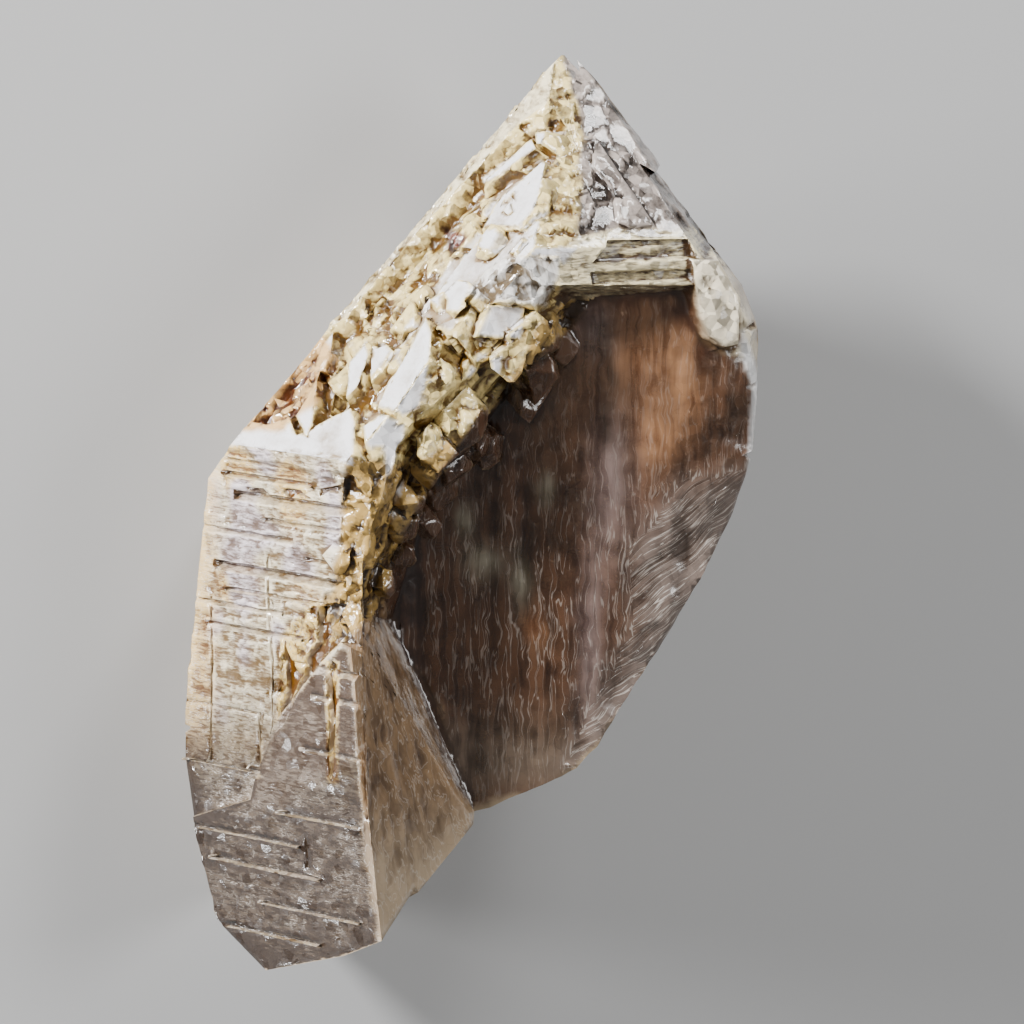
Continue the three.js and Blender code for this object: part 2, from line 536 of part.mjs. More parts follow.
// What the growth left out
function growthCuts() {
  return joined([
    relief(FIELD, pyramid.left, { sink: FIELD_DEPTH, taper: 0.5 }),
    ...hollows(DEEP_HOLLOWS, pyramid.left),
    relief(APRON, prism.front, { sink: 2.2, taper: 0.5 }),
    relief(TREAD, prism.front, { sink: 0.6 }),
    ...hollows(BAND_TREADS, prism.front),
    relief(GLASSY_PIT, pyramid.front, { sink: 0.7 }),
    relief(UPPER_SIDE, prism.left, { sink: UPPER_STEP, lift: 4, taper: 0.3 }),
    ...GOLD_VEES.map((outline) => relief(outline, prism.left, { sink: 1.5 })),
    ...slots(SLITS, prism.left, SLIT_DEPTH),
    ...slots(SIDE_PITS, prism.left, SIDE_PIT_DEPTH),
    ...Object.keys(GROWTH_LINES).flatMap((name) => GROWTH_LINES[name].map((line) => growthLine(name, line))),
    block([opposite(CORNER)]).intersect(column(CORNER_OUTLINE)),
  ]);
}

// What grew in the hollows, no further out than the crystal's own faces
function innerGrowth() {
  return joined([
    ...CROWN_PLATES.map((shape) => plate(shape, pyramid.left)),
    ...APRON_PLATES.map((shape) => plate(shape, prism.front)),
    plate(FIN, CORNER),
    ...nest(CROWN_NEST, 32, pyramid.left, { sunk: [1.7, 2.5], size: [1.1, 2.1] }),
    ...nest(APRON, 12, prism.front, { sunk: [2, 2.9], size: [1.3, 2.4] }),
    ...nest(CORNER_NEST, 14, CORNER, { sunk: [0.5, 1.3], size: [1.2, 2.2] }),
  ]);
}

// The stubs that roughen the wall
function wallGrowth() {
  return joined([
    ...nest(UPPER_WALL_NEST, 20, upperWall, { sunk: [0.6, 1.8], size: [1.5, 2.9] }),
    ...nest(LOWER_WALL_NEST, 9, lowerWall, { sunk: [0.3, 1.1], size: [1.1, 2.1] }),
  ]);
}

// The low plates that stand proud of the front pyramid face and of the broken flank
function outerGrowth() {
  const besideFlank = block([pyramid.left, pyramid.front, pyramid.back, pyramidFace('right', 0.6),
    face(flank.normal, flank.distance + FLANK_PLATE_LIFT)]);
  return joined([
    plate({ outline: FROSTED, lift: 0.4 }, prism.front),
    plate({ outline: FRONT_PLATE, lift: 0.3 }, pyramid.front, 1),
    column(FLANK_PLATE).intersect(besideFlank),
  ]);
}

const bare = mainCrystal().subtract(contactCut()).add(lobe());
const crystal = bare.subtract(growthCuts())
  .add(innerGrowth().intersect(bare))
  .add(wallGrowth().intersect(mainCrystal()))
  .add(outerGrowth());
const bodies = crystal.decompose();
const solid = bodies.reduce((largest, body) => (body.volume() > largest.volume() ? body : largest));

const smokyQuartz = new THREE.MeshStandardMaterial({ color: 0x8a7460, roughness: 0.22, metalness: 0 });
const stone = new THREE.Mesh(toGeometry(solid), smokyQuartz);
stone.name = 'smoky_quartz_crystal';
stone.geometry.computeBoundingBox();
const box = stone.geometry.boundingBox;
stone.position.set(-(box.min.x + box.max.x) / 2, -(box.min.y + box.max.y) / 2, -box.min.z);

const group = new THREE.Group();
group.add(stone);
export default group;
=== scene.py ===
import math

import bmesh
import bpy
import numpy as np
from mathutils import Matrix, Vector


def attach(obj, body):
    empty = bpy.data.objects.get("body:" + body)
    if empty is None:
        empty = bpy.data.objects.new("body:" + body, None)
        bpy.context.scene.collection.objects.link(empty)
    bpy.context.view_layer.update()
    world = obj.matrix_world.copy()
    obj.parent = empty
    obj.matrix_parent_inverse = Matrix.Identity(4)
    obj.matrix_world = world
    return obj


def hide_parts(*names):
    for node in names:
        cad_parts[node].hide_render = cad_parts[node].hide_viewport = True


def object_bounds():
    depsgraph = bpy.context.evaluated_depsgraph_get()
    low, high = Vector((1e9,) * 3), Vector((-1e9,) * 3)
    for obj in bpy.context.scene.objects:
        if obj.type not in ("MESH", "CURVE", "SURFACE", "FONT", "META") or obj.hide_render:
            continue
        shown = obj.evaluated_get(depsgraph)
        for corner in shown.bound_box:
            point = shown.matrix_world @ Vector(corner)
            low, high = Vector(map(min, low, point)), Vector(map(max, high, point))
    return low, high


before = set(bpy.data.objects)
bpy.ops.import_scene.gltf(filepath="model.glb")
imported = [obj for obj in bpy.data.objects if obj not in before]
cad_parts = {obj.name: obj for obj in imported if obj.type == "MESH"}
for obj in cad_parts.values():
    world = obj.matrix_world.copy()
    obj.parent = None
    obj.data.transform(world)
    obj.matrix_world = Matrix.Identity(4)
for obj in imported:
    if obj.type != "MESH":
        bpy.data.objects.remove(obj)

cad_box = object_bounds()

MM = 0.001
NODE = "smoky_quartz_crystal"

# The crystal's frame. Its long axis lies along Y. The front elevation, in which every outline below is
# drawn, is seen from a little left of the front prism face and from a little nearer the tip.
# A place in it is mm right of the tip, mm down from it, and mm out from the long axis.
TIP = np.array((10.132, 45.951, 20.0))
FRONT_TURN = math.radians(17)
FRONT_RISE = math.radians(9.3)
RIGHT = np.array((math.cos(FRONT_TURN), 0.0, math.sin(FRONT_TURN)))
OUT = np.array((-math.sin(FRONT_TURN), 0.0, math.cos(FRONT_TURN)))
AXIS = np.array((0.0, 1.0, 0.0))
SIGHT = OUT * math.cos(FRONT_RISE) + AXIS * math.sin(FRONT_RISE)
UPRIGHT = np.cross(SIGHT, RIGHT)

# Turn of each prism face about the long axis, in degrees from straight up, and its distance from it.
PRISM = {"left": (-60, 29.8), "front": (0, 13.5), "right": (60, 19.5), "back_right": (120, 11.0),
         "back": (180, 20.0), "back_left": (-120, 36.4)}
PYRAMID_RISE = math.radians(38.2)

# Outlines of the front elevation, in mm right of and down from the tip.
CONTACT = [(3.5, 24.7), (12.5, 24), (13.5, 29.5), (17.8, 31), (19.3, 35), (19, 42.8), (17.5, 47),
           (13.5, 54), (9.5, 60.5), (3.5, 68.8), (0, 72.5), (-3.5, 74.7), (-9.5, 75.5), (-12.5, 66),
           (-16.5, 60), (-18, 55), (-16.5, 49), (-13.5, 44), (-9.5, 38), (-2.5, 31)]
RIBS = [(19, 42), (22, 50), (6, 72), (0, 71), (7, 58), (6.5, 50), (12, 43)]
CROWN = [(0, -1), (1.7, 10), (1, 18.8), (-1, 21), (-0.7, 25), (-4, 31), (-9, 37.5), (-15, 41.5),
         (-21.3, 40.5), (-33.4, 39.5), (-40, 38), (-30, 24), (-10, 2)]
GLASSY = [(0, -1), (1.7, 10), (1, 18.8), (13, 18.2), (9.5, 11.3), (4, 2)]
FLANK = [(0.5, -1), (9.5, 11.3), (13, 18.2), (16.5, 22), (24, 18), (12, 0)]
BAND = [(1, 18.8), (-0.9, 21), (-0.8, 25), (3.5, 24.7), (12.5, 24), (13.2, 21), (15.7, 21.2),
        (13, 18.2)]
FROSTED = [(12.3, 20.6), (15.7, 21.2), (18.6, 26), (19.4, 31), (17.8, 31), (15.9, 29.8), (14.3, 28.8),
           (13.3, 26.8)]
SIDE = [(-40, 38), (-33.4, 39.5), (-21.3, 40.5), (-21.9, 45), (-22.1, 49), (-23.2, 53.8), (-24.7, 56),
        (-21.5, 59), (-20.8, 66), (-19.9, 76), (-18.4, 88), (-17, 95), (-45, 95)]
CORNER = [(-21.3, 40.5), (-15, 41.5), (-16.5, 49), (-18, 55), (-19.5, 59.5), (-21.5, 59), (-24.7, 56),
          (-23.2, 53.8), (-22.1, 49), (-21.9, 45)]
WALL = [(-0.7, 25), (3.5, 24.7), (-2.5, 31), (-9.5, 38), (-13.5, 44), (-16.5, 49), (-15, 41.5),
        (-9, 37.5), (-4, 31)]
FAN = [(-21.5, 59), (-18, 55), (-16.5, 60), (-12.5, 66), (-9.5, 75.5), (-8, 80), (-14, 92), (-18.4, 88),
       (-19.9, 76), (-20.8, 66)]
RUST = [(-29, 29), (-24, 28.6), (-22.4, 31), (-24, 35), (-28, 38), (-33, 38)]

# The hollowed field of the crown, and the flat plates that stand in it
FIELD = [(-1.4, 5.4), (1, 7.5), (1.9, 10), (2.6, 15.5), (1.9, 19.2), (-0.4, 22), (-11, 29), (-14, 35.4),
         (-20.4, 41.6), (-27, 41.2), (-33.4, 39.3), (-30.3, 34.5), (-26.5, 29.7), (-22, 27),
         (-15.3, 19), (-4.7, 7.6)]
PLATES = [
    [(-3.4, 9.3), (-3, 10.1), (-4.8, 11.4), (-8.3, 13.7), (-8.1, 12.8), (-5.7, 11)],
    [(-3.2, 8.3), (2.1, 8.5), (2.3, 9.7), (-0.5, 9.9), (-2.9, 9.6)],
    [(-2.6, 11.2), (-1.5, 11.8), (-2, 13.4), (-3.2, 16.3), (-4.6, 18), (-8.5, 17.7), (-6.7, 14.5),
     (-4.6, 13)],
    [(0.9, 10.8), (2.6, 10.5), (2.7, 15.5), (1.9, 19.2), (-0.2, 21.9), (-0.8, 21), (-0.7, 18.6),
     (0.7, 15.1)],
    [(-8.5, 18.4), (-4.6, 18.2), (-2, 16.5), (-1.1, 18.4), (-0.8, 21), (-5.8, 21.1), (-7.8, 22.5),
     (-9.5, 24), (-10.3, 26), (-11.3, 28.4), (-13.5, 27.2), (-16, 29.5), (-16.7, 29.2), (-13.5, 25),
     (-12.4, 23), (-11, 21.2), (-9.5, 19.5)],
    [(-13.8, 27.2), (-13.3, 28.7), (-13.5, 31.4), (-13.9, 34.2), (-14.6, 36), (-15.8, 36.6),
     (-18.9, 35.5), (-17.7, 33), (-16.9, 32.2), (-15.3, 29.8)],
    [(-19.8, 29.5), (-19.5, 30.6), (-20, 32.2), (-20.6, 33.9), (-21.6, 34.9), (-21.4, 31.4)],
    [(-19.4, 30), (-18, 29.5), (-17.3, 30.2), (-18.5, 32.2), (-19.3, 33)],
    [(-17.1, 29.9), (-16, 29.7), (-16.7, 31.2), (-17.7, 31.6)],
    [(-23.1, 28.3), (-23.3, 30.5), (-23.9, 32.2), (-25.1, 32.2), (-24.3, 29.9)],
    [(-24.4, 32.2), (-24.7, 33.4), (-25.1, 37.4), (-25.7, 38.6), (-26.8, 36.5), (-25.9, 35.3)],
    [(-21.4, 35.9), (-20.9, 37.2), (-20.9, 41.6), (-25.9, 41.1), (-34, 39.3), (-31.3, 37.2),
     (-29.2, 37.4), (-27.6, 36.7), (-26.8, 38.6), (-25.1, 37.8)],
    [(-18.4, 36.4), (-16.4, 37), (-17.5, 39.6), (-19.7, 40), (-20.2, 37.6)],
    [(-8.6, 29), (-7.3, 26.1), (-4, 26.2), (-4.5, 29.1)],
    [(-10, 34.6), (-9.5, 32.2), (-8.5, 30.7), (-6.2, 31), (-6.6, 33.1), (-7.7, 34.3)],
    [(-17.9, 38), (-15.9, 37.6), (-15.9, 42.3), (-16, 43.7), (-17, 47.2), (-17.6, 49), (-18.1, 47),
     (-17.6, 43)],
]
TREAD = [(-5.8, 21.1), (-0.6, 21.2), (-0.8, 23.2), (-1.7, 25), (-1.9, 25.9), (-9, 25.2), (-9.8, 24.5),
         (-7.8, 22.5)]
NICK = [(-12.4, 17.6), (-9.6, 18.8), (-11.4, 20.8)]
SLIVER = [(17.6, 28), (18.6, 30), (20, 34), (20, 45), (18.6, 46), (18.4, 40), (18.8, 34), (17.4, 30)]
VEES = [(-28.4, 58.6), (-25.1, 55.2), (-21.9, 55), (-21.1, 57.8), (-23.5, 60.2), (-26.3, 63.8),
        (-28.8, 67)]
SLIT = [(-23.7, 60.8), (-22.3, 61), (-22.6, 73), (-23.5, 73)]
LOWER_PLATE = [(-20.5, 58.6), (-19.8, 70), (-30, 76), (-31.5, 75), (-31, 72.8), (-29.3, 68.6),
               (-26.2, 63.7), (-24.7, 61.5)]

# Patches of the contact surface: their middle and how far they reach across and along
TAN_PATCHES = [((6, 30), (4.5, 8)), ((12, 33), (1.5, 5)), ((-3, 58), (1, 2)), ((9, 39), (2, 2))]
LILAC_PATCHES = [((4.6, 43), (2.2, 8)), ((2.6, 60), (1.3, 10)), ((3, 28), (2, 3)), ((11, 50), (3, 4)),
                 ((7, 66), (2, 3))]
PALE_BLOTS = [((-8.2, 51.2), (1.7, 1.8)), ((-4.6, 53), (0.9, 2.6)), ((-10, 47), (0.8, 1.6)), ((-2, 44),
              (0.7, 1.5))]
FIBROUS = ((-4, 56), (11, 13))
CLEAR_FOOT = ((-5, 71), (14, 4))
# From how far down to how far down the side's foot and the lobe's foot take over
FOOT_FADE = (60, 76)
FAN_FOOT_FADE = (72, 82)

# The dark and the light tone of each kind of surface, as seen on a screen, from 0 to 255. Each lies over
# those before it.
BARE_TONES = ((88, 66, 42), (168, 148, 120))
TONES = {
    "side": ((106, 78, 34), (250, 234, 198)),
    "amber": ((110, 68, 10), (246, 208, 128)),
    "lavender": ((108, 86, 74), (238, 224, 228)),
    "edge": ((104, 62, 10), (242, 204, 136)),
    "foot": ((50, 35, 24), (114, 97, 80)),
    "lower": ((78, 58, 42), (186, 168, 150)),
    "gold": ((92, 56, 6), (246, 208, 118)),
    "pit": ((98, 66, 12), (250, 224, 150)),
    "rim": ((104, 74, 24), (252, 236, 194)),
    "glassy": ((42, 32, 25), (190, 176, 166)),
    "flank": ((22, 15, 10), (80, 68, 58)),
    "wall": ((50, 30, 4), (206, 168, 96)),
    "corner": ((48, 28, 4), (200, 162, 90)),
    "band": ((58, 36, 10), (252, 236, 190)),
    # The plates' near-white light tone is painted reflection: these faces lie parallel and mirror the
    # same light
    "plate": ((152, 126, 88), (250, 248, 249)),
    "tread": ((112, 94, 68), (248, 244, 238)),
    "fan": ((62, 40, 24), (158, 126, 90)),
    "fan_foot": ((104, 82, 58), (186, 164, 136)),
    "contact": ((38, 20, 11), (100, 68, 47)),
    "clear": ((70, 55, 42), (124, 106, 90)),
    "tan": ((104, 64, 38), (180, 132, 94)),
    "lilac": ((80, 61, 56), (138, 118, 112)),
    "ribs": ((74, 58, 48), (126, 111, 102)),
    "pale": ((92, 82, 62), (164, 156, 136)),
    "frosted": ((96, 70, 32), (250, 236, 206)),
    "rust": ((84, 40, 6), (228, 182, 116)),
    "nick": ((38, 13, 4), (104, 48, 18)),
    "sliver": ((214, 206, 200), (253, 252, 251)),
}
# Colour of the pale threads: fibres on the contact surface, and painted glints across the side
THREAD_AND_GLINT_TONE = (240, 230, 218)

# How strongly each kind of surface shows the chips, streaks and pale threads, how much of it is clear,
# and how much darker than the rest it is. Negative shares weaken a pattern.
CHIPPED = {"wall": 0.45, "corner": 0.45, "pit": 0.45, "gold": 0.45, "rust": 0.45, "glassy": 0.35,
           "frosted": 0.35, "flank": 0.3, "rim": 0.1, "plate": -0.15, "contact": -0.2, "fan": -0.15}
# On the side the streaks are partly real striations and partly painted glints and painted shadows along
# the growth steps
STREAKED = {"side": 0.9, "back": 0.3, "band": 0.9, "tread": 0.5, "contact": 0.5, "fan": 0.5, "ribs": 0.4,
            "plate": -0.05, "pit": 0.4, "wall": 0.5, "corner": 0.5, "rim": 0.4, "glassy": 0.3,
            "frosted": 0.3, "foot": -0.3}
CLEAR = {"contact": 0.4, "glassy": 0.28, "flank": 0.6, "fan": 0.25, "side": 0.08, "foot": 0.2,
         "lower": 0.12, "back": 0.35, "pit": 0.06, "wall": 0.12, "corner": 0.12, "frosted": 0.1,
         "rim": 0.05, "band": 0.12, "plate": 0.03}
THREADS = {"contact": 0.1, "fibrous": 0.2, "fan": 0.25, "foot": 0.8, "lower": 0.5, "ribs": 0.4}
# Pale threads across the side above its foot: painted glints on the edges of its growth steps
SIDE_GLINT_THREADS = 0.7
# The plates' negative share lightens them, as part of their painted reflection
DARKER = {"side": 0.2, "glassy": 0.08, "flank": 0.3, "pit": 0.05, "frosted": 0.08, "wall": 0.1,
          "plate": -0.1}
CHIPPED_ALL = 0.2
STREAKED_ALL = 0.4
SKIN_LEVEL = 0.58
# Painted shade and painted highlight: hollows are darkened and crests lightened by this much for each mm
# below or above the near and the wider surroundings, which are what is left after that many rounds of
# smoothing
NEAR_ROUNDS, WIDE_ROUNDS = 4, 40
NEAR_HOLLOW_SHADE, WIDE_HOLLOW_SHADE = 1.7, 0.7
# The side's hollows are filled by what is deeper than the first, and by no more than the second, in mm
LIFT_FROM, LIFT_MOST = 0.2, 1.5
# The relief fades where the CAD surface is creased by this much, in mm
CREASE = (0.04, 0.2)
CREASE_FADE = 0.85

# Heights of the relief, in mm
FIBRE_HEIGHT = 0.22
RIB_HEIGHT = 0.3
TREAD_HEIGHT = 0.28
LINE_HEIGHT = 0.1
SIDE_FACETS = 0.3
SPRAY_HEIGHT = 0.3
CHIP_HEIGHT = 1.2
FINE_CHIP_HEIGHT = 0.18
RIM_FACETS = 0.6
GLASSY_FACETS = 0.6

# The chips of the mesh and those of the bump
CHIPS_PER_MM = 0.42
FINE_CHIPS_PER_MM = 1.1
BUMP_CHIPS_PER_MM = 1.0
BUMP_HEIGHT = 1.4
STREAK_BUMP = 0.04

QUARTZ_IOR = 1.544
SKIN_ROUGHNESS = 0.28
SKIN_COAT = 0.85
COAT_ROUGHNESS = 0.06
GLASS_ROUGHNESS = 0.08
SMOKE_TINT = (0.62, 0.47, 0.3, 1)
SMOKE_DENSITY = 45

# Mesh cells: how long an edge of the finished mesh may be on the crown, in front and behind.
CELL_FINE = 0.56
CELL_FRONT = 0.78
CELL_BACK = 1.7
SMOOTH_ANGLE = math.radians(30)

# The camera, in mm: how far it stands, and the width and the middle of what it sees
CAMERA_DISTANCE = 626
FRAME_WIDTH = 102.4
FRAME_CENTRE = (-5.3, 46.2)
SENSOR = 36
FLOOR_SHADE = 0.52
ROOM_LIGHT = 0.16


def facing(turn, rise):
    """The direction a crystal face looks in."""
    turn = math.radians(turn)
    flat = math.cos(rise)
    return np.array((math.sin(turn) * flat, math.sin(rise), math.cos(turn) * flat))


def place(right, down, out):
    """The point of the shared frame, in metres, at that place of the front elevation."""
    along = (out * math.sin(FRONT_RISE) - down) / math.cos(FRONT_RISE)
    return (TIP + RIGHT * right + OUT * out + AXIS * along) * MM


# Noise

def lattice(cells, seed):
    """A steady random number from 0 to 1 for each whole-numbered cell."""
    mixed = np.full(len(cells), seed * 374761393 % 4294967296, dtype=np.uint64)
    for k, prime in enumerate((668265263, 2246822519, 3266489917)):
        mixed = (mixed + cells[:, k].astype(np.int64).astype(np.uint64) * prime) & 0xFFFFFFFF
        mixed = ((mixed ^ (mixed >> 15)) * 2654435761) & 0xFFFFFFFF
    return (mixed ^ (mixed >> 13)) / 4294967296


def noise(points, seed=0):
    """Smooth noise from -1 to 1 whose features are about one unit wide."""
    base = np.floor(points)
    part = points - base
    part = part * part * (3 - 2 * part)
    total = np.zeros(len(points))
    for corner in np.ndindex(2, 2, 2):
        weight = np.prod(np.where(corner, part, 1 - part), axis=1)
        total += weight * lattice(base + corner, seed)
    return total * 2 - 1


def rough(points, octaves, seed=0):
    """Noise with finer and fainter layers added."""
    return sum(noise(points * 2.03 ** k, seed + k) / 2 ** k for k in range(octaves))


def ridged(points, octaves, seed=0):
    """Sharp crests between rounded hollows, from 0 to about 1."""
    layers = [(1 - np.abs(noise(points * 2.03 ** k, seed + k))) ** 2 / 2 ** k for k in range(octaves)]
    return sum(layers) / 2


def facets(points, seed=0):
    """Small flat facets about one unit wide, each tilted its own way: the height from -0.5 to 0.5."""
    base = np.floor(points - 0.5)
    nearest = np.full(len(points), 1e9)
    height = np.zeros(len(points))
    for step in np.ndindex(2, 2, 2):
        cell = base + step
        middle = cell + 0.2 + 0.6 * np.stack([lattice(cell, seed + k) for k in range(3)], axis=1)
        tilt = np.stack([lattice(cell, seed + 3 + k) for k in range(3)], axis=1) - 0.5
        away = points - middle
        distance = (away ** 2).sum(axis=1)
        closer = distance < nearest
        nearest = np.where(closer, distance, nearest)
        height = np.where(closer, (away * tilt).sum(axis=1), height)
    return height


def smooth(low, high, value):
    """0 below low and 1 above high, with a smooth rise between."""
    part = np.clip((value - low) / (high - low), 0, 1)
    return part * part * (3 - 2 * part)


def within(right, down, outline, soft=0.8):
    """1 well inside the outline and 0 well outside it, with an edge that is soft mm wide."""
    nearest = np.full(len(right), 1e9)
    odd = np.zeros(len(right), dtype=bool)
    for (x0, y0), (x1, y1) in zip(outline, outline[1:] + outline[:1]):
        dx, dy = x1 - x0, y1 - y0
        share = np.clip(((right - x0) * dx + (down - y0) * dy) / (dx * dx + dy * dy), 0, 1)
        nearest = np.minimum(nearest, np.hypot(right - x0 - share * dx, down - y0 - share * dy))
        if dy:
            crosses = (y0 > down) != (y1 > down)
            odd ^= crosses & (right < dx * (down - y0) / dy + x0)
    return smooth(-soft / 2, soft / 2, np.where(odd, nearest, -nearest))


def blots(right, down, patches):
    """Soft-edged patches, each given by its middle and how far it reaches."""
    return np.clip(sum(np.exp(-((right - x) / across) ** 2 - ((down - y) / along) ** 2)
                       for (x, y), (across, along) in patches), 0, 1)


# Crystal

def only(obj):
    """Makes one object the selected and active one."""
    bpy.ops.object.select_all(action="DESELECT")
    obj.select_set(True)
    bpy.context.view_layer.objects.active = obj


def copy_of_node(name, piece_name):
    """A copy of a CAD node with its loose triangles joined up."""
    piece = bpy.data.objects.new(piece_name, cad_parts[name].data.copy())
    bpy.context.collection.objects.link(piece)
    only(piece)
    bpy.ops.object.mode_set(mode="EDIT")
    bpy.ops.mesh.select_all(action="SELECT")
    bpy.ops.mesh.remove_doubles(threshold=2e-6)
    bpy.ops.object.mode_set(mode="OBJECT")
    return piece


def cut_long_edges(piece, passes=8):
    """Splits every edge that is longer than a mesh cell, without moving the surface."""
    only(piece)
    bpy.ops.object.mode_set(mode="EDIT")
    mesh = bmesh.from_edit_mesh(piece.data)
    sight, right, upright = Vector(SIGHT), Vector(RIGHT), Vector(UPRIGHT)
    tip = Vector(TIP) * MM
    for _ in range(passes):
        long_edges = []
        for edge in mesh.edges:
            length = edge.calc_length() / MM
            if length <= CELL_FINE:
                continue
            normal = sum((f.normal for f in edge.link_faces), Vector())
            middle = (edge.verts[0].co + edge.verts[1].co) / 2 - tip
            across, down = middle.dot(right) / MM, -middle.dot(upright) / MM
            limit = CELL_FRONT if normal.dot(sight) > 0 else CELL_BACK
            if limit == CELL_FRONT and down < 60 and across < 4 and across + down < 36:
                limit = CELL_FINE
            if length > limit:
                long_edges.append(edge)
        if not long_edges:
            break
        bmesh.ops.subdivide_edges(mesh, edges=long_edges, cuts=1)
        bmesh.ops.triangulate(mesh, faces=[f for f in mesh.faces if len(f.verts) > 3])
    bmesh.update_edit_mesh(piece.data)
    bpy.ops.object.mode_set(mode="OBJECT")


def read_mesh(piece):
    """Each vertex's place in metres, its place from the tip in mm, and its normal."""
    count = len(piece.data.vertices)
    spots = np.empty(count * 3)
    piece.data.vertices.foreach_get("co", spots)
    normals = np.empty(count * 3)
    piece.data.vertex_normals.foreach_get("vector", normals)
    spots = spots.reshape(-1, 3)
    local = spots / MM - TIP
    return spots, local, normals.reshape(-1, 3)


def settled(piece, spots, rounds):
    """Each vertex's place after it has moved that many times to the middle of its neighbours."""
    edges = np.empty(len(piece.data.edges) * 2, dtype=np.int64)
    piece.data.edges.foreach_get("vertices", edges)
    edges = edges.reshape(-1, 2)
    start, end = np.concatenate((edges, edges[:, ::-1])).T
    share = 1 / np.maximum(np.bincount(start, minlength=len(spots)), 1)
    for _ in range(rounds):
        means = [np.bincount(start, spots[end, k], len(spots)) * share for k in range(3)]
        spots = np.stack(means, axis=1)
    return spots


def fanned_out(across, along):
    """A place across the lobe's fibres, which spread out from their root down to its foot."""
    return (across + 20) * 5 / np.maximum(2.5, 0.42 * (-along - 50))


def tread_grain(across, along, out):
    """Places that are drawn out along the tilted ribs of the tread under the band."""
    return np.stack([across * 1.5 + along * 0.55, along * 0.12, out * 0.1], axis=1)


def streak_places(local):
    """For each kind of streaked surface, a place whose first axis runs across the streaks."""
    across, along, out = local @ RIGHT, local[:, 1], local @ OUT
    wander = noise(local * 0.4, 12)
    wobble = 0.5 * noise(local * 0.9, 21)
    level = np.stack([along * 4.5 + wobble, across * 0.9, out * 0.9], axis=1)
    upright = np.stack([across * 1.6 + wobble, along * 0.14, out * 0.7], axis=1)
    slant = (0.58 * across - 0.81 * along) * 2.4 + 1.5 * wander
    slanting = np.stack([slant, (0.81 * across + 0.58 * along) * 0.12, out * 0.2], axis=1)
    spraying = np.stack([fanned_out(across, along) * 2.4 + wobble, along * 0.35, out * 0.7], axis=1)
    return {"level": level, "mottled": local * 2.1, "upright": upright, "slanting": slanting,
            "spraying": spraying, "tilted": tread_grain(across, along, out)}


def add_streaks(piece, local, weights):
    """Gives each face's corners their places across the streaks of its kind of surface."""
    share = {"upright": weights["contact"] * (1 - weights["ribs"]), "slanting": weights["ribs"],
             "spraying": weights["fan"], "tilted": weights["tread"]}
    chipped_kinds = ("crown", "wall", "corner", "glassy", "flank", "frosted", "gold")
    mottled = sum(weights[name] for name in chipped_kinds)
    share = {"level": 0.5 * np.ones(len(local)), "mottled": 0.9 * np.minimum(mottled, 1), **share}
    places = streak_places(local)
    vertices = np.empty(len(piece.data.loops), dtype=np.int64)
    piece.data.loops.foreach_get("vertex_index", vertices)
    corners = vertices.reshape(-1, 3)
    chosen = np.argmax([share[name][corners].mean(axis=1) for name in share], axis=0).repeat(3)
    streaks = np.choose(chosen[:, None], [places[name][vertices] for name in share])
    attribute = piece.data.attributes.new("streaks", "FLOAT_VECTOR", "CORNER")
    attribute.data.foreach_set("vector", streaks.ravel())


def zones(local, normals):
    """How much each vertex belongs to each kind of surface, from 0 to 1."""
    wander = np.stack([noise(local * 0.55, 31), noise(local * 0.55, 32)], axis=1) * 0.5
    across, drop = local @ RIGHT, -(local @ UPRIGHT)
    right, down = across + wander[:, 0], drop + wander[:, 1]
    front = smooth(-0.05, 0.12, normals @ SIGHT)
    outlines = {"contact": CONTACT, "ribs": RIBS, "crown": CROWN, "glassy": GLASSY, "flank": FLANK,
                "band": BAND, "frosted": FROSTED, "side": SIDE, "corner": CORNER, "wall": WALL,
                "fan": FAN, "rust": RUST}
    weights = {name: within(right, down, outline) * front for name, outline in outlines.items()}
    left = facing(PRISM["left"][0], 0)
    weights["side"] *= smooth(0.45, 0.7, normals @ left)
    weights["ribs"] = within(right, down, RIBS, 5) * weights["contact"]
    weights["back"] = 1 - front
    # The plates: faces parallel to the left pyramid face or the front prism face, whose light tone is
    # painted reflection
    plates = np.max([within(across, drop, outline, 0.3) for outline in PLATES], axis=0)
    flat = np.maximum(normals @ facing(PRISM["left"][0], PYRAMID_RISE), normals @ facing(0, 0))
    weights["plate"] = plates * smooth(0.86, 0.95, flat) * front
    field = within(across, drop, FIELD, 0.5)
    outer = (1 - field) * smooth(0.9, 0.97, normals @ facing(PRISM["left"][0], PYRAMID_RISE))
    weights["rim"] = weights["crown"] * outer
    weights["pit"] = weights["crown"] * (1 - outer) * (1 - weights["plate"])
    weights["tread"] = within(across, drop, TREAD, 0.4) * front
    notches = np.maximum(within(across, drop, VEES, 0.6), within(across, drop, SLIT, 0.3))
    weights["gold"] = notches * weights["side"]
    weights["lower"] = within(right, down, LOWER_PLATE, 1.5) * weights["side"] * (1 - weights["gold"])
    weights["foot"] = smooth(*FOOT_FADE, down) * weights["side"]
    above_foot = weights["side"] * (1 - weights["foot"])
    weights["lavender"] = smooth(0.15, 0.5, noise(local * 0.3, 35)) * above_foot
    weights["amber"] = smooth(0.2, 0.5, noise(local * 0.17, 36)) * above_foot
    at_left_edge = smooth(-34, -37, right + 0.02 * (down - 66)) * smooth(74, 66, down)
    weights["edge"] = at_left_edge * weights["side"]
    weights["fan_foot"] = weights["fan"] * smooth(*FAN_FOOT_FADE, down)
    weights["sliver"] = within(across, drop, SLIVER, 0.6) * front
    weights["nick"] = within(across, drop, NICK, 0.4) * front
    weights["tan"] = blots(right, down, TAN_PATCHES) * weights["contact"]
    weights["lilac"] = blots(right, down, LILAC_PATCHES) * weights["contact"]
    weights["pale"] = blots(right, down, PALE_BLOTS) * weights["contact"]
    weights["fibrous"] = blots(right, down, [FIBROUS]) * weights["contact"]
    weights["clear"] = blots(right, down, [CLEAR_FOOT]) * weights["contact"]
    return weights


